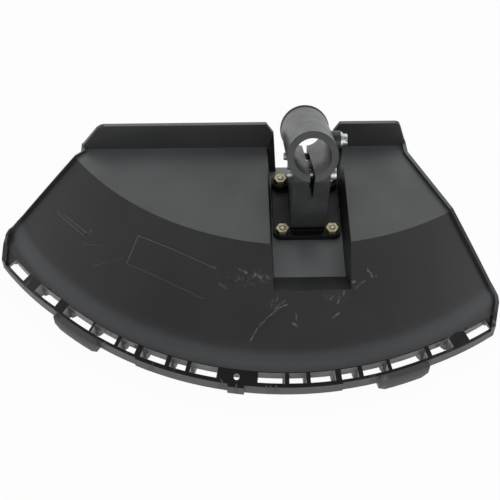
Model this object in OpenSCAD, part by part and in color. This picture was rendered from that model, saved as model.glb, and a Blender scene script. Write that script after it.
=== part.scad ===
// Brush cutter blade guard: moulded deflector shell with a bolted shaft clamp.
// Origin: middle of the shaft clamp bore. +Z up, +Y towards the machine, X across the shaft.
// Units: millimetres. Every length below is measured from the flat top of the shell, the back
// wall and the shaft plane, then the whole part is moved so that the bore middle is the origin.

/* [Shaft clamp] */
// Diameter of the clamped shaft tube
shaft_d = 28; // [24:0.5:30]
// Wall of the clamp tube
clamp_wall = 5.3; // [3.5:0.1:6]
// Length of the clamp tube along the shaft
clamp_len = 95; // [88:1:100]
// Height of the bore axis over the flat top at the front end of the tube
ring_z = 65.9; // [64:0.1:68]
// Angle of the shaft over the flat top, in degrees
shaft_tilt = 32.5; // [30:0.5:35]
// Width of the clamping slit
slit_w = 3.6; // [2:0.1:5]
// Width of the post below the clamp tube
post_w = 28; // [24:0.5:29]
// Clamp screw thread diameter
clamp_screw_d = 6; // [5:0.5:6]
// Locking screw thread diameter
lock_screw_d = 6; // [5:0.5:6]
// Thickness of the bracket base plate
plate_t = 5; // [4:0.5:6]
// Margin of the bracket base plate beyond the bolt middles
plate_edge = 7; // [6:0.5:8]
// Height of the two rear lugs over the base plate
lug_h = 4.5; // [3:0.5:6]
// Distance from the sides of the post to the bolt middles
bolt_off = 6; // [5.5:0.1:7]
// Bolt spacing along the shaft
bolt_dy = 50; // [46:0.5:52]
// Thread diameter of the four base plate bolts
bolt_d = 5; // [4:0.5:5]

/* [Shell] */
// Reach of the shell to the left of the shaft
reach_l = 246.8; // [242:0.2:250]
// Reach of the shell to the right of the shaft
reach_r = 146.6; // [144:0.2:150]
// Left end of the back wall, from the shaft
back_l = 183.2; // [180:0.2:186]
// Right end of the back wall, from the shaft
back_r = 83.6; // [80:0.2:86]
// Wall thickness of the moulding
wall_t = 3; // [2.5:0.1:3.5]
// Height of the back wall over the flat top
back_h = 25; // [18:1:32]
// Height of the side rims over the surface
rim_h = 5; // [3:0.5:8]
// Thickness of the side rims
rim_t = 3.2; // [2.5:0.1:4]
// Depth of the clamp recess
recess_d = 29; // [26:0.5:31]
// Gap between the base plate and the sides of the recess floor
recess_gap = 1.2; // [0.6:0.1:3]
// Depth of the outer rim wall below the slot strip
skirt_h = 9.3; // [7:0.1:11]
// Bottom of the two catch pockets below the flat top
pocket_z = 59; // [56:0.5:62]
// Diameter of the hole in the middle pad of the slot strip
pad_hole_d = 4.5; // [3.5:0.1:5]

/* [Hidden] */
$fn = 96;
// clearance of screws in plain holes, radial
hole_c = 0.25;
// circle of the crease, the edge of the flat top
c1 = [-4.3, 119.3];
r1 = 223.6;
// circle of the slot strip
c2 = [-17.5, 60.1];
r2 = 238.9;
// heights of the roll start, slot inner edge and slot outer edge below the flat top
z_roll = 30.5;
z_in = 39.5;
z_out = 44;
r_in = 254.9;
r_out = r_in + 10;
// outer radius of the flank zones of the strip
r_flank = r_out - 0.9;
// outer edge of the slots
r_slot = r_in + 7;
// centre shift of the strip beyond the left and the right catch pocket
shift_l = [-14.5, 13.1];
shift_r = [11.9, 5.1];
// middle line of the slot strip, degrees from straight ahead
mid_a = -9.1;
// slot edges, degrees from the middle line, [near, far]
slots_l = [[3.3, 7.85], [8.6, 11.4], [12.2, 16.65], [17.75, 20.95], [21.65, 26.55],
           [26.95, 32.95], [34.95, 40.1], [43.25, 47.7]];
slots_r = [[3.5, 7.95], [8.7, 11.5], [12.2, 16.35], [17.35, 20.2], [21.0, 25.3],
           [25.95, 32.45], [33.3, 37.4], [40.6, 45.1]];
// bore axis: front end of the tube and derived points
ring_y = -74.1;
ax = [0, cos(shaft_tilt), -sin(shaft_tilt)];
up = [0, sin(shaft_tilt), cos(shaft_tilt)];
mid_y = ring_y + 47.5 * cos(shaft_tilt);
mid_z = ring_z - 47.5 * sin(shaft_tilt);
clamp_r = shaft_d / 2 + clamp_wall;
floor_z = -recess_d;
plate_top = floor_z + plate_t;
bolt_y0 = -69.5;
bolt_y1 = bolt_y0 + bolt_dy;
// bolt spacing, base plate and recess widths across the shaft, from the post outwards
bolt_dx = post_w + 2 * bolt_off;
plate_w = bolt_dx + 2 * plate_edge;
recess_draft = 2.8;
recess_w = plate_w + 2 * (recess_gap + recess_draft);
// distance of the clamp screws below the bore axis and their places along it
screw_drop = shaft_d / 2 + clamp_screw_d / 2 + 3;
screw_s = [28, 84];
lock_s = 55.5;
nut_af = bolt_d * 1.8;
nut_h = bolt_d * 0.7;
// front edge and length of the base plate
plate_y = bolt_y0 - 6;
plate_l = bolt_dy + 15;
// end of the locking screw boss, across the shaft
boss_x = clamp_r + 6.2;

function dir(a) = [sin(a), -cos(a)];
function on2(r, a) = c2 + r * dir(a);

// moves everything so that the middle of the clamp bore is the origin
module placed() {
    translate([0, -mid_y, -mid_z]) children();
}

// moves children to the bore axis, local +Z along the shaft towards the machine
module on_axis(s) {
    translate([0, ring_y, ring_z])
        rotate([-90 - shaft_tilt, 0, 0])
            translate([0, 0, s]) children();
}

// plan wedge about the strip circle, from angle a to angle b
module wedge(a, b, r = 330) {
    polygon([c2, on2(r, a), on2(r, a + (b - a) / 3), on2(r, b - (b - a) / 3), on2(r, b)]);
}

// plan ring piece of the strip circle
module arc2d(ri, ro, a, b, c = [0, 0]) {
    intersection() {
        translate(c2 + c)
            difference() {
                circle(r = ro, $fn = 240);
                circle(r = ri, $fn = 240);
            }
        wedge(a, b);
    }
}

// plan of the side and back edges, moved inwards by d, strip left open
module edges2d(d = 0) {
    polygon([
        [-back_l + d, 8], [-back_l + d, -4.8 + 0.4 * d],
        [-reach_l + 4.1 + 0.66 * d, -57 + 0.15 * d],
        [-reach_l + 1.4 + 0.85 * d, -61.5], [-reach_l + 0.3 + d, -67],
        [-reach_l + d, -140], [-180, -300], [60, -300],
        [reach_r - 7.8 - d, -165], [reach_r - d, -134.5],
        [reach_r - 0.4 - d, -130], [reach_r - 2.4 - d, -126.6],
        [back_r + 29.6 - d, -70.8], [back_r + 1 - d, -9.4], [back_r - d, 8]]);
}

// plan of the strip side, moved inwards by d
module strip2d(d = 0) {
    translate(c2) circle(r = r_flank - d, $fn = 240);
    arc2d(100, r_out - d, -26.4, 8.3);
    arc2d(100, r_out + 2.0 - d, -10.4, -7.7);
    arc2d(100, r_flank - d, -90, -41.5, shift_l);
    arc2d(100, r_flank - d, 22.5, 80, shift_r);
}

module outline2d(d = 0) {
    intersection() {
        edges2d(d);
        strip2d(d);
        translate([-300, -260]) square([600, 264.5]);
    }
}

// height lost over the roll, x beyond the roll start
function roll_z(x) = z_roll + 0.40 * x + 0.0102 * x * x;

// half disc stack: rows of [centre, radius, height], facets joined row to row
module stack(rows, n = 84) {
    m = len(rows);
    k = n + 1;
    polyhedron(
        points = [for (r = rows) for (i = [0:n])
            [r[0][0] - r[1] * cos(180 * i / n), r[0][1] - r[1] * sin(180 * i / n), r[2]]],
        faces = concat(
            [[for (i = [n:-1:0]) i]],
            [[for (i = [0:n]) (m - 1) * k + i]],
            [for (j = [0:m - 2]) for (i = [0:n - 1])
                [j * k + i, j * k + i + 1, (j + 1) * k + i + 1, (j + 1) * k + i]],
            [for (j = [0:m - 2]) [j * k + n, j * k, (j + 1) * k, (j + 1) * k + n]]));
}

// solid below the upper surface of the shell
module top_solid() {
    stack([[c1, r1, 0], [c2, r2, -roll_z(0)], [c2, r2 + 5, -roll_z(5)], [c2, r2 + 10, -roll_z(10)],
           [c2, r_in - 0.6, -z_in + 0.2], [c2, r_in + 24, -z_in - 10.4], [c2, r_in + 24, -90]]);
}

// hollow below the shell
module under_solid() {
    t = wall_t;
    stack([[c1, r1, -t], [c2, r2 - 0.7, -roll_z(0) - t], [c2, r2 + 4, -roll_z(5) - t],
           [c2, r2 + 8.6, -roll_z(10) - t], [c2, r_in - 2, -z_in + 0.2 - t],
           [c2, r_in + 28, -z_in - 10.4 - t], [c2, r_in + 28, -120]]);
}

// clamp recess, grown by d on the floor, sides and ramp
module recess(d = 0) {
    top = recess_w / 2 + d;
    low = recess_w / 2 - recess_draft + d;
    intersection() {
        translate([-60, 0, 0])
            rotate([90, 0, 90])
                linear_extrude(120)
                    polygon([[d > 0 ? 4.5 : 0, floor_z - d], [-113 - 0.6 * d, floor_z - d],
                             [-186 - 0.6 * d, floor_z - d + 44.7], [-186, 60],
                             [d > 0 ? 4.5 : 0, 60]]);
        translate([0, 40, 0])
            rotate([90, 0, 0])
                linear_extrude(240)
                    polygon([[-low, floor_z - d], [low, floor_z - d], [top, 0], [top, 60],
                             [-top, 60], [-top, 0]]);
    }
}

// back wall profile across the shell, sloping to the rims at both ends
module back_wall() {
    intersection() {
        translate([0, 4.5, 0])
            rotate([90, 0, 0])
                linear_extrude(6)
                    polygon([[-back_l + 0.2, -wall_t], [-back_l + 0.2, 4.2],
                             [-back_l + 14.2, back_h - 3.2], [-back_l + 17.7, back_h - 0.7],
                             [-back_l + 20.4, back_h], [back_r - 10.2, back_h],
                             [back_r - 7.6, back_h - 1], [back_r - 6, back_h - 4],
                             [back_r - 0.2, 5], [back_r - 0.2, -wall_t]]);
        translate([-250, 0, 0])
            rotate([90, 0, 90])
                linear_extrude(500)
                    polygon([[-0.2, -wall_t], [0, 0], [1.5, back_h], [1.5, 60], [4.5, 60], [4.5, -wall_t]]);
    }
}

// notch in the back wall for the shaft
module notch() {
    translate([0, 12, 0])
        rotate([90, 0, 0])
            linear_extrude(13)
                polygon([[-22.8, floor_z], [21.4, floor_z], [23.2, back_h - 9.5],
                         [28.3, back_h + 0.4], [29, back_h + 10], [-33, back_h + 10],
                         [-31.9, back_h + 0.4], [-25.3, back_h - 11]]);
}

module slot_cut(near, far, side, ro, c = [0, 0]) {
    a = mid_a + side * near;
    b = mid_a + side * far;
    translate([0, 0, -90])
        linear_extrude(80)
            arc2d(r_in, ro, min(a, b), max(a, b), c);
}

// thin web below the strip at the far end of a slot
module web(far, side) {
    a = mid_a + side * (far - 0.3);
    b = mid_a + side * (far + 0.55);
    translate([c2[0], c2[1], 0])
        rotate([0, 0, -90 + min(a, b)])
            rotate_extrude(angle = 0.85, $fn = 240)
                polygon([[r_in - 7.9, -z_roll - 5.7], [r_in - 7.9, -pocket_z + 1],
                         [r_in - 3.9, -pocket_z + 1], [r_in + 7.5, -z_out - skirt_h + 0.7],
                         [r_in + 7.5, -z_out - 0.2]]);
}

module pocket(a, b) {
    translate([c2[0], c2[1], 0])
        difference() {
            rotate([0, 0, -90 + a])
                rotate_extrude(angle = b - a, $fn = 240)
                    polygon([[r_in + 4.1, -pocket_z], [r_out + 2.7, -pocket_z],
                             [r_out + 3.1, -z_out - 1.6], [r_in + 4.1, -z_out + 0.8]]);
            rotate([0, 0, -90 + a + 0.55])
                rotate_extrude(angle = b - a - 1.1, $fn = 240)
                    polygon([[r_in - 4.9, -pocket_z - 1], [r_out + 0.1, -pocket_z - 1],
                             [r_out + 0.1, -z_out - 4.2], [r_in - 4.9, -z_out - 4.2]]);
            for (e = [[a, 1], [b, -1]])
                rotate([0, 0, -90 + e[0]])
                    translate([r_in - 4.9, 0, -pocket_z])
                        rotate([0, 90, 0])
                            linear_extrude(30)
                                polygon([[1, -e[1] * 3], [1, e[1] * 7], [-4.5, -e[1] * 1], [-4.5, -e[1] * 3]]);
        }
}

module bolt_spots() {
    for (x = [-1, 1])
        for (y = [bolt_y0, bolt_y1])
            translate([x * bolt_dx / 2, y, 0]) children();
}

// skin of even thickness under the upper surface
module skin() {
    difference() {
        intersection() {
            translate([0, 0, -80]) linear_extrude(90) outline2d();
            top_solid();
        }
        under_solid();
    }
}

// walls and recess below the skin, their tops end inside its thickness
module low_walls() {
    intersection() {
        union() {
            // outer rim wall below the strip
            translate([0, 0, -z_out - skirt_h])
                linear_extrude(skirt_h + 6)
                    difference() {
                        outline2d();
                        strip2d(2.8);
                    }
            // end walls of the strip
            translate([0, 0, -z_out - skirt_h])
                linear_extrude(skirt_h + 12)
                    difference() {
                        outline2d();
                        edges2d(2.8);
                        translate(c2) circle(r = r_in - 8.9, $fn = 240);
                    }
            // inner wall of the slots
            translate([0, 0, -47])
                linear_extrude(9.5)
                    intersection() {
                        edges2d(1);
                        union() {
                            arc2d(r_in - 2.4, r_in + 1.5, -43, 25);
                            arc2d(r_in - 2.4, r_in + 1.5, -60, -42.9, shift_l);
                            arc2d(r_in - 2.4, r_in + 1.5, 24.9, 40, shift_r);
                        }
                    }
            recess(wall_t);
        }
        translate([0, 0, -wall_t / 2]) top_solid();
    }
}

// side rims following the surface
module side_rims() {
    difference() {
        intersection() {
            translate([0, 0, -80])
                linear_extrude(100)
                    difference() {
                        outline2d();
                        edges2d(rim_t);
                    }
            translate([0, 0, rim_h]) top_solid();
        }
        translate([0, 0, -0.7]) under_solid();
    }
}

module guard_shell() {
    color([0.09, 0.09, 0.095])
    difference() {
        union() {
            union() {
                skin();
                low_walls();
                side_rims();
                back_wall();
            }
            for (i = [0:6]) {
                web(slots_l[i][1], -1);
                web(slots_r[i][1], 1);
            }
            pocket(-43.1, -33.6);
            pocket(14.2, 23.1);
        }
        for (i = [0:7]) {
            slot_cut(slots_l[i][0], slots_l[i][1], -1, r_slot, i < 6 ? [0, 0] : shift_l);
            slot_cut(slots_r[i][0], slots_r[i][1], 1, r_slot, i < 6 ? [0, 0] : shift_r);
        }
        recess();
        notch();
        // hole in the middle pad
        translate([on2(r_in + 4.4, mid_a)[0], on2(r_in + 4.4, mid_a)[1], -70])
            cylinder(d = pad_hole_d, h = 50);
        bolt_spots()
            translate([0, 0, floor_z - wall_t - 1])
                cylinder(r = bolt_d / 2 + hole_c, h = wall_t + 2);
    }
}

// post below the clamp tube, from the base plate up to the bore axis
module post() {
    translate([-post_w / 2, 0, 0])
        rotate([90, 0, 90])
            linear_extrude(post_w)
                polygon([[-69.5, plate_top - 0.5], [-79.5, 44], [-79, ring_z - 14],
                         [ring_y + 92 * cos(shaft_tilt), ring_z - 92 * sin(shaft_tilt)],
                         [ring_y + 92 * cos(shaft_tilt) - 26 * sin(shaft_tilt),
                          ring_z - 92 * sin(shaft_tilt) - 26 * cos(shaft_tilt)],
                         [-11.5, plate_top - 0.5]]);
}

module base_plate() {
    r = 6;
    x = plate_w / 2 - r;
    translate([0, 0, floor_z])
        linear_extrude(plate_t)
            union() {
                translate([-x, plate_y]) square([2 * x, plate_l]);
                translate([-x - r, plate_y + r]) square([2 * x + 2 * r, plate_l - 2 * r]);
                for (sx = [-1, 1])
                    for (y = [plate_y + r, plate_y + plate_l - r])
                        translate([sx * x, y]) circle(r = r);
            }
}

module clamp_bracket() {
    color([0.13, 0.13, 0.135])
    difference() {
        union() {
            // tube with a low lip at the machine end
            on_axis(0) cylinder(r = clamp_r, h = clamp_len);
            on_axis(clamp_len - 2.5) cylinder(r = clamp_r + 0.7, h = 2.5);
            post();
            base_plate();
            for (x = [-1, 1])
                translate([x * bolt_dx / 2, bolt_y1, plate_top - 0.5])
                    cylinder(r = 7.3, h = lug_h + 0.5);
            // boss of the locking screw
            on_axis(lock_s)
                rotate([0, 90, 0])
                    cylinder(r = 7, h = boss_x);
        }
        on_axis(-5) cylinder(r = shaft_d / 2, h = clamp_len + 10);
        // clamping slit below the bore
        on_axis(-20)
            translate([-slit_w / 2, 0, 0])
                cube([slit_w, 38.5, clamp_len + 60]);
        // clamp screw holes: plain on the right, threaded on the left
        for (s = screw_s)
            on_axis(s)
                translate([0, screw_drop, 0])
                    rotate([0, 90, 0]) {
                        cylinder(r = clamp_screw_d / 2 + hole_c, h = 40);
                        translate([0, 0, -40]) cylinder(r = clamp_screw_d / 2, h = 41);
                    }
        on_axis(lock_s)
            rotate([0, 90, 0])
                cylinder(r = lock_screw_d / 2, h = 40);
        bolt_spots()
            translate([0, 0, floor_z - 1])
                cylinder(r = bolt_d / 2 + hole_c, h = plate_t + lug_h + 2);
    }
}

// base plate bolt, head below the recess floor
module plate_bolt(x, y, top) {
    color([0.75, 0.75, 0.77])
    translate([x, y, 0]) {
        translate([0, 0, floor_z - wall_t - bolt_d * 0.7])
            cylinder(r = bolt_d * 0.8, h = bolt_d * 0.7, $fn = 6);
        translate([0, 0, floor_z - wall_t - 0.1])
            cylinder(d = bolt_d, h = top - floor_z + wall_t + nut_h + 0.6);
    }
}

module plate_nut(x, y, top) {
    color([0.80, 0.68, 0.30])
    translate([x, y, top])
        difference() {
            cylinder(d = nut_af / cos(30), h = nut_h, $fn = 6);
            translate([0, 0, -1]) cylinder(d = bolt_d, h = nut_h + 2);
        }
}

// socket head clamp screw, head on the right side of the post
module clamp_screw(s) {
    color([0.75, 0.75, 0.77])
    on_axis(s)
        translate([0, screw_drop, 0])
            rotate([0, 90, 0])
                difference() {
                    union() {
                        translate([0, 0, -post_w / 2 - 3.2])
                            cylinder(d = clamp_screw_d, h = post_w + 3.3);
                        translate([0, 0, post_w / 2])
                            cylinder(d = clamp_screw_d * 1.67, h = clamp_screw_d);
                    }
                    translate([0, 0, post_w / 2 + clamp_screw_d * 0.45])
                        cylinder(d = clamp_screw_d * 0.95, h = clamp_screw_d, $fn = 6);
                }
}

module lock_screw() {
    color([0.75, 0.75, 0.77])
    on_axis(lock_s)
        rotate([0, 90, 0])
            difference() {
                union() {
                    translate([0, 0, shaft_d / 2 + 0.5])
                        cylinder(d = lock_screw_d, h = boss_x + 1.5 - shaft_d / 2);
                    translate([0, 0, boss_x + 1.5]) cylinder(d = 9, h = 3.8);
                }
                translate([-6, -0.8, boss_x + 3.7]) cube([12, 1.6, 3]);
            }
}

module lock_washer() {
    color([0.75, 0.75, 0.77])
    on_axis(lock_s)
        rotate([0, 90, 0])
            translate([0, 0, boss_x])
                difference() {
                    cylinder(d = 12, h = 1.5);
                    translate([0, 0, -1]) cylinder(d = lock_screw_d, h = 4);
                }
}

placed() guard_shell();
placed() clamp_bracket();
placed() plate_bolt(-bolt_dx / 2, bolt_y0, plate_top);  // bolt_front_left
placed() plate_bolt(bolt_dx / 2, bolt_y0, plate_top);  // bolt_front_right
placed() plate_bolt(-bolt_dx / 2, bolt_y1, plate_top + lug_h);  // bolt_rear_left
placed() plate_bolt(bolt_dx / 2, bolt_y1, plate_top + lug_h);  // bolt_rear_right
placed() plate_nut(-bolt_dx / 2, bolt_y0, plate_top);  // nut_front_left
placed() plate_nut(bolt_dx / 2, bolt_y0, plate_top);  // nut_front_right
placed() plate_nut(-bolt_dx / 2, bolt_y1, plate_top + lug_h);  // nut_rear_left
placed() plate_nut(bolt_dx / 2, bolt_y1, plate_top + lug_h);  // nut_rear_right
placed() clamp_screw(screw_s[0]);  // clamp_screw_front
placed() clamp_screw(screw_s[1]);  // clamp_screw_rear
placed() lock_screw();
placed() lock_washer();
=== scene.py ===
import math

import bmesh
import bpy
from mathutils import Matrix, Vector
from mathutils.bvhtree import BVHTree


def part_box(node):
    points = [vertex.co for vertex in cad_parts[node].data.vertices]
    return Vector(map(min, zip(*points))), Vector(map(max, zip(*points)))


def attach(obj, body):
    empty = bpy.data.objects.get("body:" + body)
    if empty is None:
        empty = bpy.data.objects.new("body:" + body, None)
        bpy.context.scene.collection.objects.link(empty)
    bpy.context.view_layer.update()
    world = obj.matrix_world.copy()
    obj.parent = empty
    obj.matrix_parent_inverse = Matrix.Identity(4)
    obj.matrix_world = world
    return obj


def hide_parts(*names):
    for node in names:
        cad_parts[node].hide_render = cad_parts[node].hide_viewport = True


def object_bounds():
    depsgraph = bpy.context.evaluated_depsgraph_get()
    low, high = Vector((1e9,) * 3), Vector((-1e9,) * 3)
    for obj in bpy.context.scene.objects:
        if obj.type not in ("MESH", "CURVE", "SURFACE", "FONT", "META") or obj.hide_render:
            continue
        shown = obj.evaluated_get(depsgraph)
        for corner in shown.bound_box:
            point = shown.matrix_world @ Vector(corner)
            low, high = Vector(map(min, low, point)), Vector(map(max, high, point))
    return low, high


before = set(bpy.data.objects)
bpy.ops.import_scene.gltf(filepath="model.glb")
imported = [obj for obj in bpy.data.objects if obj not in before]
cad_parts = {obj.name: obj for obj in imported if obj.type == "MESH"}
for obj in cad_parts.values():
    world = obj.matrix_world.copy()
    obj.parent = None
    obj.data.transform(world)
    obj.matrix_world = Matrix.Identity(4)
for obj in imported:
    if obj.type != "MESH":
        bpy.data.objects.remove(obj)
cadLow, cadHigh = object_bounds()
print("frame loaded")

# camera at the photographed angle, metres and degrees
cameraSetup = {
    "place": (-0.06182, -0.60946, 0.62258),
    "pitch": 51.058,
    "turn": 1.386,
    "roll": 0.334,
    "sensor": 36,
    "lens": 80.28,
    "shift": (0.0051, -0.0011),
    "clip": (0.01, 20),
}


def makeCamera():
    pitch, turn, roll = (math.radians(cameraSetup[k]) for k in ("pitch", "turn", "roll"))
    look = Vector((math.sin(turn) * math.cos(pitch), math.cos(turn) * math.cos(pitch), -math.sin(pitch)))
    side = Vector((math.cos(turn), -math.sin(turn), 0))
    upward = side.cross(look)
    sideRolled = math.cos(roll) * side + math.sin(roll) * upward
    upRolled = math.cos(roll) * upward - math.sin(roll) * side
    data = bpy.data.cameras.new("photoCamera")
    data.sensor_width = cameraSetup["sensor"]
    data.lens = cameraSetup["lens"]
    data.shift_x, data.shift_y = cameraSetup["shift"]
    data.clip_start, data.clip_end = cameraSetup["clip"]
    cam = bpy.data.objects.new("photoCamera", data)
    facing = Matrix((sideRolled, upRolled, -look)).transposed().to_4x4()
    cam.matrix_world = Matrix.Translation(cameraSetup["place"]) @ facing
    bpy.context.scene.collection.objects.link(cam)
    bpy.context.scene.camera = cam


makeCamera()
bpy.context.scene.view_settings.view_transform = "Standard"
print("camera placed")


def addNode(tree, kind, settings=None, **inputs):
    node = tree.nodes.new(kind)
    for key, value in (settings or {}).items():
        setattr(node, key, value)
    for key, value in inputs.items():
        node.inputs[key.replace("_", " ")].default_value = value
    return node


# a socket takes a link or a plain value
def feed(tree, socket, value):
    if isinstance(value, bpy.types.NodeSocket):
        tree.links.new(value, socket)
    else:
        socket.default_value = value


def mathNode(tree, operation, *values, clamp=False):
    node = addNode(tree, "ShaderNodeMath", {"operation": operation, "use_clamp": clamp})
    for socket, value in zip(node.inputs, values):
        feed(tree, socket, value)
    return node.outputs[0]


def vectorNode(tree, operation, *values):
    node = addNode(tree, "ShaderNodeVectorMath", {"operation": operation})
    for socket, value in zip(node.inputs, values):
        feed(tree, socket, value)
    return node.outputs["Value" if operation in ("DOT_PRODUCT", "DISTANCE") else "Vector"]


def scaleVector(tree, vector, factor):
    node = addNode(tree, "ShaderNodeVectorMath", {"operation": "SCALE"})
    feed(tree, node.inputs[0], vector)
    feed(tree, node.inputs["Scale"], factor)
    return node.outputs["Vector"]


def splitVector(tree, vector):
    node = addNode(tree, "ShaderNodeSeparateXYZ")
    tree.links.new(vector, node.inputs[0])
    return node.outputs


def noise(tree, coords, scale, detail, roughness):
    node = addNode(tree, "ShaderNodeTexNoise", Scale=scale, Detail=detail, Roughness=roughness)
    tree.links.new(coords, node.inputs["Vector"])
    return node


def spread(tree, value, low, high, toLow=0.0, toHigh=1.0):
    node = addNode(tree, "ShaderNodeMapRange")
    for socket, number in zip(node.inputs, (value, low, high, toLow, toHigh)):
        feed(tree, socket, number)
    return node.outputs[0]


# noise brought from one range to another; noise is scale, detail, roughness
def patchy(tree, coords, pattern):
    cloud = noise(tree, coords, *pattern["noise"])
    return spread(tree, cloud.outputs["Fac"], *pattern["from"], *pattern["to"])


def blendColour(tree, amount, first, second):
    node = addNode(tree, "ShaderNodeMix", {"data_type": "RGBA"})
    amountSocket, firstSocket, secondSocket = node.inputs[0], node.inputs[6], node.inputs[7]
    feed(tree, amountSocket, amount)
    feed(tree, firstSocket, first)
    feed(tree, secondSocket, second)
    return node.outputs[2]


# nodes in columns, counted back from the output
def layOut(tree):
    column = {node.name: 0 for node in tree.nodes}
    links = [(link.from_node.name, link.to_node.name) for link in tree.links]
    for _ in column:
        for source, target in links:
            column[source] = max(column[source], column[target] + 1)
    filled = {}
    for node in tree.nodes:
        place = column[node.name]
        node.location = (-220 * place, -240 * filled.get(place, 0))
        filled[place] = filled.get(place, 0) + 1


def newGroup(name, kind, inputs, outputs):
    tree = bpy.data.node_groups.new(name, kind)
    for way, sockets in (("OUTPUT", outputs), ("INPUT", inputs)):
        for label, socket in sockets.items():
            tree.interface.new_socket(label, in_out=way, socket_type="NodeSocket" + socket)
    given = addNode(tree, "NodeGroupInput").outputs
    result = addNode(tree, "NodeGroupOutput").inputs
    return tree, given, result


# one worn line on a surface seen in plan, ends given in metres
def makeScratchGroup():
    inputs = {"Position": "Vector", "Start": "Vector", "End": "Vector"}
    inputs |= {"Width": "Float", "Strength": "Float"}
    tree, given, result = newGroup("scratchLine", "ShaderNodeTree", inputs, {"Mark": "Float"})
    flat = vectorNode(tree, "MULTIPLY", given["Position"], (1, 1, 0))
    fromStart = vectorNode(tree, "SUBTRACT", flat, given["Start"])
    along = vectorNode(tree, "SUBTRACT", given["End"], given["Start"])
    over = vectorNode(tree, "DOT_PRODUCT", fromStart, along)
    length = vectorNode(tree, "DOT_PRODUCT", along, along)
    share = mathNode(tree, "DIVIDE", over, length, clamp=True)
    gap = vectorNode(tree, "DISTANCE", fromStart, scaleVector(tree, along, share))
    thin = mathNode(tree, "DIVIDE", gap, given["Width"])
    soft = mathNode(tree, "SUBTRACT", 1.0, thin, clamp=True)
    mark = mathNode(tree, "MULTIPLY", soft, given["Strength"])
    tree.links.new(mark, result["Mark"])
    layOut(tree)
    return tree


scratchGroup = makeScratchGroup()


def newMaterial(name):
    material = bpy.data.materials.new(name)
    material.use_nodes = True
    tree = material.node_tree
    coords = addNode(tree, "ShaderNodeTexCoord").outputs["Object"]
    return material, tree, coords


edgeSamples = 6


# colour, roughness, fixed sockets, rounded edges and fine grain, all on the shader
def finishMaterial(tree, coords, colour, rough, sockets, grain):
    shader = tree.nodes["Principled BSDF"]
    tree.links.new(colour, shader.inputs["Base Color"])
    tree.links.new(rough, shader.inputs["Roughness"])
    for name, value in sockets.items():
        shader.inputs[name].default_value = value
    height = noise(tree, coords, *grain["noise"]).outputs["Fac"]
    bump = addNode(tree, "ShaderNodeBump", Strength=grain["strength"], Distance=grain["distance"])
    tree.links.new(height, bump.inputs["Height"])
    rounded = addNode(tree, "ShaderNodeBevel", {"samples": edgeSamples}, Radius=grain["edge"])
    tree.links.new(rounded.outputs[0], bump.inputs["Normal"])
    tree.links.new(bump.outputs[0], shader.inputs["Normal"])
    layOut(tree)


# black moulded plastic of the shell, places and heights in metres
plasticLook = {
    "dark": (0.0178, 0.0184, 0.0202, 1),
    "pale": (0.0242, 0.0250, 0.0272, 1),
    "cloud": {"noise": (14.0, 4.0, 0.5), "from": (0.3, 0.7), "to": (0.0, 1.0)},
    "smear": {"noise": (30.0, 5.0, 0.6), "from": (0.3, 0.7), "to": (0.44, 0.54)},
    "sockets": {"Specular IOR Level": 0.9},
    "grain": {"noise": (2600.0, 2.0, 0.5), "strength": 0.16, "distance": 0.00015, "edge": 0.0006},
    # painted light on level faces, by how far up they face
    "levelPaintedLight": (0.084, 0.0918, 0.0936),
    "levelLightCloud": {"noise": (22.0, 5.0, 0.6), "from": (0.3, 0.7), "to": (0.75, 1.0)},
    "levelFrom": (0.955, 0.995),
    # more painted light at the foot of the back wall and ahead of the plate in the recess, where shade
    # falls
    "footY": (0.000, 0.030),
    "footPaintedLight": (1.0, 2.2),
    "recessZ": (-0.045, -0.060),
    "recessPaintedLight": (0.0, 2.3),
    "recessY": (-0.0800, -0.0792),
    # painted highlight on the bulge, a paler band: radius in plan and strength
    "bulgeHighlightColour": (0.048, 0.051, 0.057),
    "bulgeCentre": (-0.0175, 0.09414, 0),
    "bulgeSpan": (0.20, 0.26),
    "bulgeHighlightStops": [
        (0.2350, 0.0),
        (0.2395, 0.12),
        (0.2440, 0.8),
        (0.2480, 1.0),
        (0.2518, 0.65),
        (0.2545, 0.25),
    ],
    # worn marks: colour, how far lines wander, how they break up
    "worn": (0.24, 0.242, 0.245, 1),
    "wornRough": 0.2,
    "wander": 0.0016,
    "wanderNoise": (380.0, 1.0, 0.5),
    "broken": {"noise": (420.0, 2.0, 0.5), "from": (0.38, 0.62), "to": (0.25, 1.0)},
    "speckle": {"noise": (520.0, 3.0, 0.65), "from": (0.55, 0.72), "to": (0.0, 0.9)},
}
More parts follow.
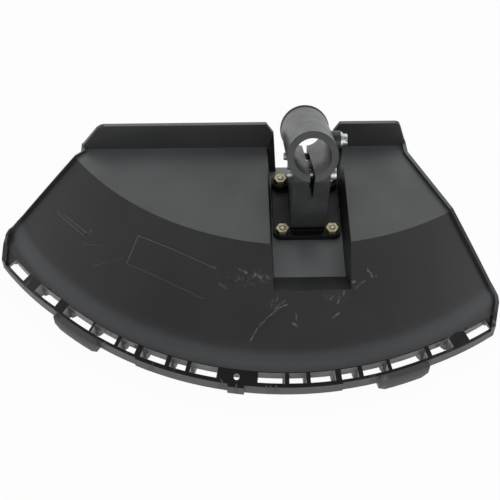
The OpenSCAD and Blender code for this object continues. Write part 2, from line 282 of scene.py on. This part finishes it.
# worn lines in plan: start, end, half width and strength, metres
scuffLines = [
    ((-0.0481, -0.1387), (-0.0423, -0.1296), 0.0007, 0.9),
    ((-0.0423, -0.1296), (-0.0320, -0.1203), 0.0006, 0.75),
    ((-0.0320, -0.1203), (-0.0258, -0.1158), 0.0007, 0.9),
    ((-0.0258, -0.1158), (-0.0193, -0.1131), 0.0007, 0.8),
    ((-0.0296, -0.1165), (-0.0211, -0.1102), 0.0006, 0.6),
    ((-0.0555, -0.0861), (-0.0495, -0.0894), 0.0010, 0.7),
    ((-0.0428, -0.0905), (-0.0398, -0.0925), 0.0016, 1.0),
    ((-0.0410, -0.0913), (-0.0375, -0.0960), 0.0008, 0.8),
    ((-0.0340, -0.0925), (-0.0321, -0.0949), 0.0010, 0.7),
    ((-0.0131, -0.1204), (-0.0129, -0.1247), 0.0008, 0.5),
    ((-0.0156, -0.1268), (-0.0134, -0.1289), 0.0012, 0.8),
    ((-0.0318, -0.1142), (-0.0300, -0.1090), 0.0007, 0.4),
    ((-0.0272, -0.1108), (-0.0265, -0.1060), 0.0007, 0.5),
    ((0.0100, -0.1072), (0.0104, -0.1100), 0.0008, 0.6),
    ((0.0134, -0.1097), (0.0150, -0.1082), 0.0012, 0.8),
    ((0.0186, -0.1130), (0.0205, -0.1082), 0.0010, 0.7),
    ((0.0239, -0.1037), (0.0236, -0.1070), 0.0010, 0.8),
    ((0.0150, -0.1228), (0.0195, -0.1195), 0.0012, 0.7),
    ((0.0427, -0.0870), (0.0434, -0.0890), 0.0010, 0.9),
    ((0.0450, -0.0895), (0.0462, -0.0925), 0.0011, 0.9),
    ((0.0490, -0.0915), (0.0502, -0.0932), 0.0008, 0.6),
    ((0.0312, -0.0970), (0.0325, -0.0965), 0.0014, 0.9),
    ((0.0335, -0.1012), (0.0345, -0.1003), 0.0012, 0.8),
    ((0.0360, -0.0985), (0.0400, -0.0962), 0.0009, 0.6),
    ((-0.0745, -0.0835), (-0.0735, -0.0845), 0.0012, 0.5),
    ((-0.0715, -0.0955), (-0.0656, -0.0994), 0.0010, 0.35),
    ((-0.1698, -0.0706), (-0.1666, -0.0692), 0.0009, 0.3),
    ((-0.1666, -0.0692), (-0.1461, -0.0682), 0.0006, 0.2),
]
# rubbed patches in plan: start, end, half width and strength, metres
scuffPatches = [
    ((-0.0600, -0.0930), (-0.0340, -0.0930), 0.0085, 0.75),
    ((-0.0320, -0.1120), (-0.0240, -0.1090), 0.0050, 0.45),
    ((0.0080, -0.1090), (0.0250, -0.1060), 0.0050, 0.40),
    ((-0.0760, -0.0840), (-0.0660, -0.0990), 0.0060, 0.30),
]


def wornMarks(tree, coords, lines):
    total = None
    for (startX, startY), (endX, endY), width, strength in lines:
        line = addNode(tree, "ShaderNodeGroup", {"node_tree": scratchGroup}, Width=width, Strength=strength)
        line.inputs["Start"].default_value = (startX, startY, 0)
        line.inputs["End"].default_value = (endX, endY, 0)
        tree.links.new(coords, line.inputs["Position"])
        mark = line.outputs["Mark"]
        total = mark if total is None else mathNode(tree, "MAXIMUM", total, mark)
    return total


def plasticMarks(tree, coords):
    look = plasticLook
    wander = look["wander"]
    shift = noise(tree, coords, *look["wanderNoise"]).outputs["Color"]
    offset = vectorNode(tree, "MULTIPLY_ADD", shift, (wander,) * 3, (-wander / 2,) * 3)
    bent = vectorNode(tree, "ADD", coords, offset)
    lines = wornMarks(tree, bent, scuffLines)
    lineMark = mathNode(tree, "MULTIPLY", lines, patchy(tree, coords, look["broken"]))
    patches = wornMarks(tree, coords, scuffPatches)
    patchMark = mathNode(tree, "MULTIPLY", patches, patchy(tree, coords, look["speckle"]))
    return mathNode(tree, "MAXIMUM", lineMark, patchMark, clamp=True)


# painted highlight: the bulge ahead of the slot strip is made paler in a band by radius in plan
def bulgePaintedHighlight(tree, coords):
    low, high = plasticLook["bulgeSpan"]
    plan = vectorNode(tree, "MULTIPLY", coords, (1, 1, 0))
    reach = vectorNode(tree, "DISTANCE", plan, plasticLook["bulgeCentre"])
    highlightRamp = addNode(tree, "ShaderNodeValToRGB")
    stops = plasticLook["bulgeHighlightStops"]
    while len(highlightRamp.color_ramp.elements) < len(stops):
        highlightRamp.color_ramp.elements.new(0.5)
    for stop, (radius, tone) in zip(highlightRamp.color_ramp.elements, stops):
        stop.position = (radius - low) / (high - low)
        stop.color = (tone, tone, tone, 1)
    tree.links.new(spread(tree, reach, low, high), highlightRamp.inputs[0])
    return vectorNode(tree, "MULTIPLY", highlightRamp.outputs[0], plasticLook["bulgeHighlightColour"])


# how level a face is, and the painted light laid on it
def paintLevelLight(tree, coords):
    look = plasticLook
    facing = splitVector(tree, addNode(tree, "ShaderNodeNewGeometry").outputs["Normal"])
    level = spread(tree, facing["Z"], *look["levelFrom"])
    place = splitVector(tree, coords)
    foot = spread(tree, place["Y"], *look["footY"], *look["footPaintedLight"])
    low = spread(tree, place["Z"], *look["recessZ"], *look["recessPaintedLight"])
    ahead = spread(tree, place["Y"], *look["recessY"])
    more = mathNode(tree, "MULTIPLY_ADD", low, ahead, foot)
    lightShare = mathNode(tree, "MULTIPLY", level, more)
    levelLight = mathNode(tree, "MULTIPLY", lightShare, patchy(tree, coords, look["levelLightCloud"]))
    return level, scaleVector(tree, look["levelPaintedLight"], levelLight)


def makePlastic():
    look = plasticLook
    material, tree, coords = newMaterial("mouldedPlastic")
    marks = plasticMarks(tree, coords)
    base = blendColour(tree, patchy(tree, coords, look["cloud"]), look["dark"], look["pale"])
    body = vectorNode(tree, "ADD", base, bulgePaintedHighlight(tree, coords))
    # painted light: level faces are made paler, more so at the wall's foot and in the recess
    level, levelLight = paintLevelLight(tree, coords)
    levelLit = blendColour(tree, level, body, levelLight)
    colour = blendColour(tree, marks, levelLit, look["worn"])
    rough = mathNode(tree, "MULTIPLY_ADD", marks, look["wornRough"], patchy(tree, coords, look["smear"]))
    finishMaterial(tree, coords, colour, rough, look["sockets"], look["grain"])
    return material


# plain variants of the moulding, by base colour and range of roughness: painted shade on the strip's top
# and near edges, painted light on slot walls and far edges
sidePlastics = {
    "stripShadePlastic": {"colour": (0.0022, 0.0023, 0.0024), "rough": (0.22, 0.34)},
    "slotLightPlastic": {"colour": (0.20, 0.205, 0.195), "rough": (0.30, 0.40)},
    "padEdgeHighlightPlastic": {"colour": (0.13, 0.134, 0.138), "rough": (0.40, 0.50)},
}
sideLook = {
    "cloud": {"noise": (40.0, 4.0, 0.5), "from": (0.3, 0.7), "to": (0.7, 1.3)},
    "smearNoise": (60.0, 4.0, 0.6),
    "smearFrom": (0.3, 0.7),
}


def makeSidePlastic(name):
    look = sidePlastics[name]
    material, tree, coords = newMaterial(name)
    colour = scaleVector(tree, look["colour"], patchy(tree, coords, sideLook["cloud"]))
    smear = {"noise": sideLook["smearNoise"], "from": sideLook["smearFrom"], "to": look["rough"]}
    rough = patchy(tree, coords, smear)
    finishMaterial(tree, coords, colour, rough, plasticLook["sockets"], plasticLook["grain"])
    return material


# black coating on the clamp casting, heights and half widths in metres
castingLook = {
    "dark": (0.040, 0.0433, 0.0433, 1),
    "pale": (0.060, 0.0650, 0.0650, 1),
    "cloud": {"noise": (55.0, 4.0, 0.6), "from": (0.35, 0.65), "to": (0.0, 1.0)},
    "smear": {"noise": (90.0, 4.0, 0.6), "from": (0.3, 0.7), "to": (0.34, 0.46)},
    "sockets": {"Specular IOR Level": 0.55},
    "grain": {"noise": (900.0, 3.0, 0.6), "strength": 0.22, "distance": 0.0002, "edge": 0.0007},
    # painted shade: the base plate and its lugs are made darker
    "plateZ": (-0.0600, -0.0580),
    "plateShadeShare": (0.07, 1.0),
    # painted shade inside the clamping slit: its walls face sideways, its foot faces up
    "slitHalf": 0.0018,
    "slitEdge": (0.00006, 0.00003),
    "wallFacing": (0.90, 0.95),
    "footFacing": (0.50, 0.60),
    "footBelow": (-0.0240, -0.0250),
    "footAbove": (-0.0500, -0.0480),
    "slitShade": 0.93,
}


# 1 on the walls and the foot of the clamping slit, where shade is painted
def slitShadeMask(tree, place):
    look = castingLook
    across = mathNode(tree, "ABSOLUTE", place["X"])
    outside, inside = (look["slitHalf"] + more for more in look["slitEdge"])
    inSlit = spread(tree, across, outside, inside)
    facing = splitVector(tree, addNode(tree, "ShaderNodeNewGeometry").outputs["Normal"])
    sideways = spread(tree, mathNode(tree, "ABSOLUTE", facing["X"]), *look["wallFacing"])
    upward = spread(tree, facing["Z"], *look["footFacing"])
    below = spread(tree, place["Z"], *look["footBelow"])
    above = spread(tree, place["Z"], *look["footAbove"])
    foot = mathNode(tree, "MULTIPLY", mathNode(tree, "MULTIPLY", below, above), upward)
    return mathNode(tree, "MULTIPLY", mathNode(tree, "MAXIMUM", sideways, foot), inSlit)


def makeCasting():
    look = castingLook
    material, tree, coords = newMaterial("coatedCasting")
    coat = blendColour(tree, patchy(tree, coords, look["cloud"]), look["dark"], look["pale"])
    place = splitVector(tree, coords)
    # painted shade darkens the base plate
    plate = spread(tree, place["Z"], *look["plateZ"], *look["plateShadeShare"])
    # painted shade blackens the clamping slit
    unshadedShare = mathNode(tree, "MULTIPLY_ADD", slitShadeMask(tree, place), -look["slitShade"], 1.0)
    colour = scaleVector(tree, coat, mathNode(tree, "MULTIPLY", plate, unshadedShare))
    rough = patchy(tree, coords, look["smear"])
    finishMaterial(tree, coords, colour, rough, look["sockets"], look["grain"])
    return material


# zinc finishes of the screws and nuts
zincColours = {
    "brightZinc": ((0.62, 0.63, 0.66, 1), (0.90, 0.92, 0.95, 1)),
    "yellowZinc": ((0.62, 0.53, 0.29, 1), (0.93, 0.84, 0.54, 1)),
}
zincLook = {
    "cloud": {"noise": (260.0, 4.0, 0.6), "from": (0.35, 0.65), "to": (0.0, 1.0)},
    "smear": {"noise": (700.0, 3.0, 0.6), "from": (0.3, 0.7), "to": (0.34, 0.50)},
    "sockets": {"Metallic": 1.0},
    "grain": {"noise": (1500.0, 2.0, 0.5), "strength": 0.1, "distance": 0.0001, "edge": 0.0003},
}


def makeZinc(name):
    material, tree, coords = newMaterial(name)
    colour = blendColour(tree, patchy(tree, coords, zincLook["cloud"]), *zincColours[name])
    rough = patchy(tree, coords, zincLook["smear"])
    finishMaterial(tree, coords, colour, rough, zincLook["sockets"], zincLook["grain"])
    return material


plastic = makePlastic()
stripShadePlastic, slotLightPlastic, padEdgeHighlightPlastic = (makeSidePlastic(name) for name in sidePlastics)
casting = makeCasting()
brightZinc, yellowZinc = (makeZinc(name) for name in zincColours)

nodeFinish = {"guard_shell": plastic, "clamp_bracket": casting}
for nodeName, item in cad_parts.items():
    finish = nodeFinish.get(nodeName) or (yellowZinc if nodeName.startswith("nut_") else brightZinc)
    for slot in item.material_slots:
        slot.material = finish
    if not item.material_slots:
        item.data.materials.append(finish)
print("finishes made")


def placeObject(name, mesh, *materials):
    data = bpy.data.meshes.new(name)
    mesh.to_mesh(data)
    mesh.free()
    for material in materials:
        data.materials.append(material)
    item = bpy.data.objects.new(name, data)
    bpy.context.scene.collection.objects.link(item)
    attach(item, "root")
    return item


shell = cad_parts["guard_shell"]


def surfaceTree(item):
    mesh = bmesh.new()
    mesh.from_mesh(item.data)
    tree = BVHTree.FromBMesh(mesh)
    mesh.free()
    return tree


shellTree = surfaceTree(shell)
rayStart = cadHigh.z + 0.01


# the shell's surface seen from above, or nothing beside it
def groundAt(x, y):
    return shellTree.ray_cast(Vector((x, y, rayStart)), Vector((0, 0, -1)))[0]


# the shown shell: lower rims and web feet, with painted shade on the slot strip's top and painted light on
# its slot walls
stripPlan = {
    "centre": (-0.0175, 0.09414),
    "inner": 0.2549,
    "outer": 0.2619,
    # past these ends in x the strip follows arcs about shifted centres
    "leftEnd": -0.191,
    "rightEnd": 0.0895,
    "shiftLeft": (-0.0145, 0.0131),
    "shiftRight": (0.0119, 0.0051),
    # faces with painted shade or painted light: reach past the slots, tilt and height
    "topMargin": 0.0008,
    "wallMargin": 0.0005,
    "topTilt": 0.5,
    "wallTilt": 0.35,
    "topZ": (-0.1, -0.0780),
    "wallZ": (-0.089, -0.078),
    # the top is parted at both ends: angle in degrees and centre
    "endCuts": [(-46.5, "shiftLeft"), (-53.5, "shiftLeft"), (33.0, "shiftRight")],
    "cutSpan": 5,
    "cutFrom": 0.245,
    "cutInset": 0.0006,
    # outer feet of the webs: radius, height, their margins and the drop
    "webRadius": 0.2624,
    "webZ": -0.0930,
    "webMargins": (0.0004, 0.0003),
    "webDrop": 0.0029,
}
rimPlan = {
    "drop": 0.0022,
    # a rim's top stands this far above the ground a step inside, with nothing a step outside
    "least": 0.0015,
    "stepIn": 0.007,
    "stepOut": 0.008,
    "middleX": -0.05,
    # where the rims meet the back wall
    "wallY": 0.0315,
    "wallZ": -0.0354,
    "wallMargin": 0.0004,
}


def stripCentre(shift=None):
    x, y = stripPlan["centre"]
    moreX, moreY = stripPlan[shift] if shift else (0, 0)
    return Vector((x + moreX, y + moreY, 0))


def stripRadius(spot):
    shift = None
    if spot.x < stripPlan["leftEnd"]:
        shift = "shiftLeft"
    elif spot.x > stripPlan["rightEnd"]:
        shift = "shiftRight"
    return (spot - stripCentre(shift)).to_2d().length


def isRimTop(spot):
    side = 1 if spot.x > rimPlan["middleX"] else -1
    inside = groundAt(spot.x - side * rimPlan["stepIn"], spot.y)
    if inside is None or spot.z < inside.z + rimPlan["least"]:
        return False
    return spot.y < rimPlan["wallY"] and groundAt(spot.x + side * rimPlan["stepOut"], spot.y) is None


def isWallEnd(spot):
    return spot.y >= rimPlan["wallY"] and abs(spot.z - rimPlan["wallZ"]) < rimPlan["wallMargin"]


def isWebFoot(spot):
    farOff, highOff = stripPlan["webMargins"]
    radius = (spot - stripCentre()).to_2d().length
    return abs(spot.z - stripPlan["webZ"]) < highOff and abs(radius - stripPlan["webRadius"]) < farOff


# the strip's top is parted along the slot edge
def partStripTop(mesh, angle, shift):
    turn = math.radians(angle)
    outward = Vector((math.sin(turn), -math.cos(turn), 0))
    middle = stripCentre(shift)
    near = []
    for face in mesh.faces:
        spot = face.calc_center_median() - middle
        faceAngle = math.degrees(math.atan2(spot.x, -spot.y))
        reach = spot.to_2d().length
        level = face.normal.z > stripPlan["topTilt"]
        if level and abs(faceAngle - angle) < stripPlan["cutSpan"] and reach > stripPlan["cutFrom"]:
            near.append(face)
    edges = [e for e in mesh.edges if any(face in near for face in e.link_faces)]
    corners = [v for v in mesh.verts if any(face in near for face in v.link_faces)]
    cutAt = middle + outward * (stripPlan["inner"] - stripPlan["cutInset"])
    bmesh.ops.bisect_plane(mesh, geom=near + edges + corners, plane_co=cutAt, plane_no=outward)


# 0 is the moulding, 1 the strip's top in painted shade and 2 the walls of its slots in painted light
def stripLightShade(face):
    spot, tilt = face.calc_center_median(), face.normal.z
    radius = stripRadius(spot)
    low = stripPlan["inner"] - stripPlan["topMargin"]
    high = stripPlan["outer"] + stripPlan["wallMargin"]
    topLow, topHigh = stripPlan["topZ"]
    wallLow, wallHigh = stripPlan["wallZ"]
    if tilt > stripPlan["topTilt"] and radius > low and topLow < spot.z < topHigh:
        return 1
    if abs(tilt) < stripPlan["wallTilt"] and low < radius < high and wallLow < spot.z < wallHigh:
        return 2
    return 0


def makeShell():
    mesh = bmesh.new()
    mesh.from_mesh(shell.data)
    bmesh.ops.remove_doubles(mesh, verts=mesh.verts[:], dist=1e-6)
    rims = [v for v in mesh.verts if isRimTop(v.co) or isWallEnd(v.co)]
    for v in rims:
        v.co.z -= rimPlan["drop"]
    feet = [v for v in mesh.verts if isWebFoot(v.co)]
    for v in feet:
        v.co.z -= stripPlan["webDrop"]
    print("corners lowered on the rims and webs:", len(rims), len(feet))
    mesh.normal_update()
    for angle, shift in stripPlan["endCuts"]:
        partStripTop(mesh, angle, shift)
    mesh.normal_update()
    for face in mesh.faces:
        face.material_index = stripLightShade(face)
    item = placeObject("shellMoulding", mesh, plastic, stripShadePlastic, slotLightPlastic)
    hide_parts("guard_shell")


makeShell()
print("shell made")

# raised marks moulded on the sloping front, plan corners in metres
raisedMarks = {
    "labelPad": [(-0.1339, -0.0515), (-0.1431, -0.0727), (-0.0824, -0.1070), (-0.0726, -0.0845)],
    "arrowShaft": [(-0.2012, -0.0154), (-0.2020, -0.0185), (-0.1774, -0.0448), (-0.1745, -0.0422)],
    "arrowHead": [(-0.1720, -0.0389), (-0.1751, -0.0448), (-0.1781, -0.0507), (-0.1596, -0.0564)],
}
raisedLook = {
    "height": 0.0005,
    "sink": 0.0001,
    "edge": 0.0007,
    "step": 0.004,
    # how squarely an edge faces the back or the front to get a painted highlight or painted shade
    "lean": 0.3,
}


# shares along a side: a narrow border at both ends and even steps between
def gridCuts(length):
    edge = raisedLook["edge"] / length
    count = max(2, round(length / raisedLook["step"]))
    return [0.0] + [edge + (1 - 2 * edge) * i / count for i in range(count + 1)] + [1.0]


# 0 is the moulding, 1 the far edge with a painted highlight and 2 the near edge with painted shade
def borderLightShade(face):
    outer = [v for v in face.verts if v.co.z < groundAt(v.co.x, v.co.y).z]
    inner = [v for v in face.verts if v not in outer]
    if not outer or not inner:
        return 0
    outerMiddle = sum((v.co for v in outer), Vector()) / len(outer)
    innerMiddle = sum((v.co for v in inner), Vector()) / len(inner)
    away = (outerMiddle - innerMiddle).to_2d().normalized()
    if away.y > raisedLook["lean"]:
        return 1
    return 2 if away.y < -raisedLook["lean"] else 0


# a low pad over four corners, in rows of quads with a sloped border
def makeRaised(name, corners):
    a, b, c, d = (Vector((x, y, 0)) for x, y in corners)
    mesh = bmesh.new()
    across = gridCuts(((a - b).length + (d - c).length) / 2)
    along = gridCuts(((a - d).length + (b - c).length) / 2)
    rows = []
    for u in along:
        row = []
        for v in across:
            spot = a.lerp(d, u).lerp(b.lerp(c, u), v)
            border = u in (0.0, 1.0) or v in (0.0, 1.0)
            lift = -raisedLook["sink"] if border else raisedLook["height"]
            row.append(mesh.verts.new((spot.x, spot.y, groundAt(spot.x, spot.y).z + lift)))
        rows.append(row)
    for first, second in zip(rows, rows[1:]):
        for quad in zip(first, first[1:], second[1:], second):
            face = mesh.faces.new(quad)
            face.material_index = borderLightShade(face)
    bmesh.ops.recalc_face_normals(mesh, faces=mesh.faces[:])
    if sum(face.normal.z for face in mesh.faces) < 0:
        bmesh.ops.reverse_faces(mesh, faces=mesh.faces[:])
    item = placeObject(name, mesh, plastic, padEdgeHighlightPlastic, stripShadePlastic)


for markName, markCorners in raisedMarks.items():
    makeRaised(markName, markCorners)
print("raised marks made")

# threaded rods: one turned ridge on a core, sizes in metres
threadLook = {
    "ridge": 0.00030,
    "pitch": 0.0008,
    "threadedShare": 0.86,
    "coreSides": 36,
    "turnSteps": 24,
    "ridgeSides": 6,
}


def makeThreadTree():
    inputs = {size: "Float" for size in ("Core", "Length", "Pitch", "Ridge")}
    inputs["Finish"] = "Material"
    tree, given, result = newGroup("threadedRod", "GeometryNodeTree", inputs, {"Geometry": "Geometry"})
    core = addNode(tree, "GeometryNodeMeshCylinder", Vertices=threadLook["coreSides"])
    tree.links.new(given["Core"], core.inputs["Radius"])
    tree.links.new(given["Length"], core.inputs["Depth"])
    lift = addNode(tree, "ShaderNodeCombineXYZ")
    tree.links.new(mathNode(tree, "MULTIPLY", given["Length"], 0.5), lift.inputs["Z"])
    standing = addNode(tree, "GeometryNodeTransform")
    tree.links.new(core.outputs["Mesh"], standing.inputs["Geometry"])
    tree.links.new(lift.outputs[0], standing.inputs["Translation"])
    run = mathNode(tree, "MULTIPLY", given["Length"], threadLook["threadedShare"])
    helix = addNode(tree, "GeometryNodeCurveSpiral", Resolution=threadLook["turnSteps"])
    tree.links.new(mathNode(tree, "DIVIDE", run, given["Pitch"]), helix.inputs["Rotations"])
    tree.links.new(run, helix.inputs["Height"])
    tree.links.new(given["Core"], helix.inputs["Start Radius"])
    tree.links.new(given["Core"], helix.inputs["End Radius"])
    profile = addNode(tree, "GeometryNodeCurvePrimitiveCircle", Resolution=threadLook["ridgeSides"])
    tree.links.new(given["Ridge"], profile.inputs["Radius"])
    ridge = addNode(tree, "GeometryNodeCurveToMesh", Fill_Caps=True)
    tree.links.new(helix.outputs["Curve"], ridge.inputs["Curve"])
    tree.links.new(profile.outputs["Curve"], ridge.inputs["Profile Curve"])
    joined = addNode(tree, "GeometryNodeJoinGeometry")
    for part in (ridge, standing):
        tree.links.new(part.outputs[0], joined.inputs[0])
    real = addNode(tree, "GeometryNodeRealizeInstances")
    tree.links.new(joined.outputs[0], real.inputs[0])
    coat = addNode(tree, "GeometryNodeSetMaterial")
    tree.links.new(real.outputs[0], coat.inputs["Geometry"])
    tree.links.new(given["Finish"], coat.inputs["Material"])
    tree.links.new(coat.outputs[0], result["Geometry"])
    layOut(tree)
    return tree


threadTree = makeThreadTree()


# a threaded rod standing on the origin
def threadMesh(core, length):
    holder = bpy.data.objects.new("threadHolder", bpy.data.meshes.new("threadHolder"))
    bpy.context.scene.collection.objects.link(holder)
    modifier = holder.modifiers.new("thread", "NODES")
    modifier.node_group = threadTree
    values = {"Core": core, "Length": length, "Finish": brightZinc}
    values["Pitch"] = threadLook["pitch"]
    values["Ridge"] = threadLook["ridge"]
    for socket in threadTree.interface.items_tree:
        if socket.in_out == "INPUT":
            modifier[socket.identifier] = values[socket.name]
    graph = bpy.context.evaluated_depsgraph_get()
    solid = bpy.data.meshes.new_from_object(holder.evaluated_get(graph))
    bpy.data.objects.remove(holder)
    mesh = bmesh.new()
    mesh.from_mesh(solid)
    bpy.data.meshes.remove(solid)
    return mesh


# plate bolts: hex head below the recess floor, threaded end above the nut
boltLook = {"core": 0.00202, "tip": 0.0004, "headHeight": 0.0035, "headRadius": 0.0040, "headEdge": 0.0003}
boltNames = ("front_left", "front_right", "rear_left", "rear_right")


def makeBolt(name):
    low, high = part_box("bolt_" + name)
    mesh = threadMesh(boltLook["core"], high.z - low.z)
    top = max(v.co.z for v in mesh.verts)
    tipEdges = [e for e in mesh.edges if all(abs(v.co.z - top) < 1e-6 for v in e.verts)]
    bmesh.ops.bevel(mesh, geom=tipEdges, offset=boltLook["tip"], segments=2, affect="EDGES")
    head = bmesh.ops.create_cone(
        mesh,
        cap_ends=True,
        segments=6,
        radius1=boltLook["headRadius"],
        radius2=boltLook["headRadius"],
        depth=boltLook["headHeight"],
        matrix=Matrix.Translation((0, 0, boltLook["headHeight"] / 2)),
    )
    headEdges = [e for e in mesh.edges if any(v in head["verts"] for v in e.verts)]
    bmesh.ops.bevel(mesh, geom=headEdges, offset=boltLook["headEdge"], segments=1, affect="EDGES")
    middle = (low + high) / 2
    bmesh.ops.translate(mesh, verts=mesh.verts[:], vec=(middle.x, middle.y, low.z))
    bolt = placeObject("plateBolt_" + name, mesh, brightZinc)
    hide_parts("bolt_" + name)


for boltName in boltNames:
    makeBolt(boltName)

# clamp screws: a thread on the end that stands out on the left
screwEndLook = {"core": 0.0029, "length": 0.0036, "inset": 0.0032}


def makeScrewThread(name):
    low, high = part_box("clamp_screw_" + name)
    mesh = threadMesh(screwEndLook["core"], screwEndLook["length"])
    turn = Matrix.Rotation(math.radians(-90), 3, "Y")
    bmesh.ops.rotate(mesh, verts=mesh.verts[:], matrix=turn, cent=(0, 0, 0))
    middle = (low + high) / 2
    bmesh.ops.translate(mesh, verts=mesh.verts[:], vec=(low.x + screwEndLook["inset"], middle.y, middle.z))
    thread = placeObject("screwThread_" + name, mesh, brightZinc)


for screwName in ("front", "rear"):
    makeScrewThread(screwName)
print("threads made")

# lights: place, size and radiance, all aimed at one spot
lights = {
    "backBox": {"place": (0.25, 1.0, 1.35), "size": (2.6, 1.1), "radiance": 1.0},
    "rightBox": {"place": (1.5, 0.2, 0.9), "size": (1.0, 0.9), "radiance": 0.8},
    "leftBox": {"place": (-1.6, 0.2, 0.9), "size": (1.0, 0.9), "radiance": 0.3},
    "lowBox": {"place": (-0.1, -1.7, 0.5), "size": (1.6, 0.6), "radiance": 1.1},
}
lightAim = Vector((0, -0.05, 0))


def makeLight(name, look):
    data = bpy.data.lights.new(name, "AREA")
    data.shape = "RECTANGLE"
    data.size, data.size_y = look["size"]
    data.energy = look["radiance"] * math.pi * data.size * data.size_y
    lamp = bpy.data.objects.new(name, data)
    lamp.location = look["place"]
    lamp.rotation_mode = "QUATERNION"
    lamp.rotation_quaternion = (lightAim - lamp.location).to_track_quat("-Z", "Y")
    bpy.context.scene.collection.objects.link(lamp)


for lightName, lightLook in lights.items():
    makeLight(lightName, lightLook)

# the sky's strength at the horizon and near the top, and where the top starts
worldLook = {"strength": (1.05, 0.16), "top": 0.75}
white = (1, 1, 1, 1)


def makeWorld():
    world = bpy.data.worlds.new("studio")
    bpy.context.scene.world = world
    world.use_nodes = True
    tree = world.node_tree
    tree.nodes.clear()
    out = addNode(tree, "ShaderNodeOutputWorld")
    direction = splitVector(tree, addNode(tree, "ShaderNodeTexCoord").outputs["Generated"])
    sky = addNode(tree, "ShaderNodeBackground", Color=white)
    level = spread(tree, direction["Z"], 0.0, worldLook["top"], *worldLook["strength"])
    tree.links.new(level, sky.inputs["Strength"])
    seen = addNode(tree, "ShaderNodeBackground", Color=white, Strength=1.0)
    path = addNode(tree, "ShaderNodeLightPath")
    mix = addNode(tree, "ShaderNodeMixShader")
    for source, socket in zip((path.outputs["Is Camera Ray"], sky.outputs[0], seen.outputs[0]), mix.inputs):
        tree.links.new(source, socket)
    tree.links.new(mix.outputs[0], out.inputs[0])
    layOut(tree)


makeWorld()

floorLook = {
    "size": 6.0,
    "gap": 0.0002,
    "fibre": (300.0, 3.0, 0.5),
    "dark": (0.86, 0.86, 0.86, 1),
    "pale": (0.9, 0.9, 0.9, 1),
    "seenShade": 0.04,
}


# paper that shows white to the camera and keeps a little of the shadow
def makeFloorMaterial():
    material, tree, coords = newMaterial("paperFloor")
    tree.nodes.remove(tree.nodes["Principled BSDF"])
    fibre = noise(tree, coords, *floorLook["fibre"]).outputs["Fac"]
    paper = addNode(tree, "ShaderNodeBsdfDiffuse")
    tree.links.new(blendColour(tree, fibre, floorLook["dark"], floorLook["pale"]), paper.inputs["Color"])
    glow = addNode(tree, "ShaderNodeEmission", Color=white, Strength=1.0)
    path = addNode(tree, "ShaderNodeLightPath").outputs
    seen = mathNode(tree, "MAXIMUM", path["Is Camera Ray"], path["Is Glossy Ray"])
    share = mathNode(tree, "MULTIPLY", seen, 1.0 - floorLook["seenShade"])
    mix = addNode(tree, "ShaderNodeMixShader")
    for source, socket in zip((share, paper.outputs[0], glow.outputs[0]), mix.inputs):
        tree.links.new(source, socket)
    tree.links.new(mix.outputs[0], tree.nodes["Material Output"].inputs[0])
    layOut(tree)
    return material


def makeFloor():
    half = floorLook["size"] / 2
    height = cadLow.z - floorLook["gap"]
    corners = [(x * half, y * half, height) for x, y in ((-1, -1), (1, -1), (1, 1), (-1, 1))]
    data = bpy.data.meshes.new("floor")
    data.from_pydata(corners, [], [(0, 1, 2, 3)])
    data.materials.append(makeFloorMaterial())
    floor = bpy.data.objects.new("floor", data)
    bpy.context.scene.collection.objects.link(floor)


makeFloor()
print("studio ready")
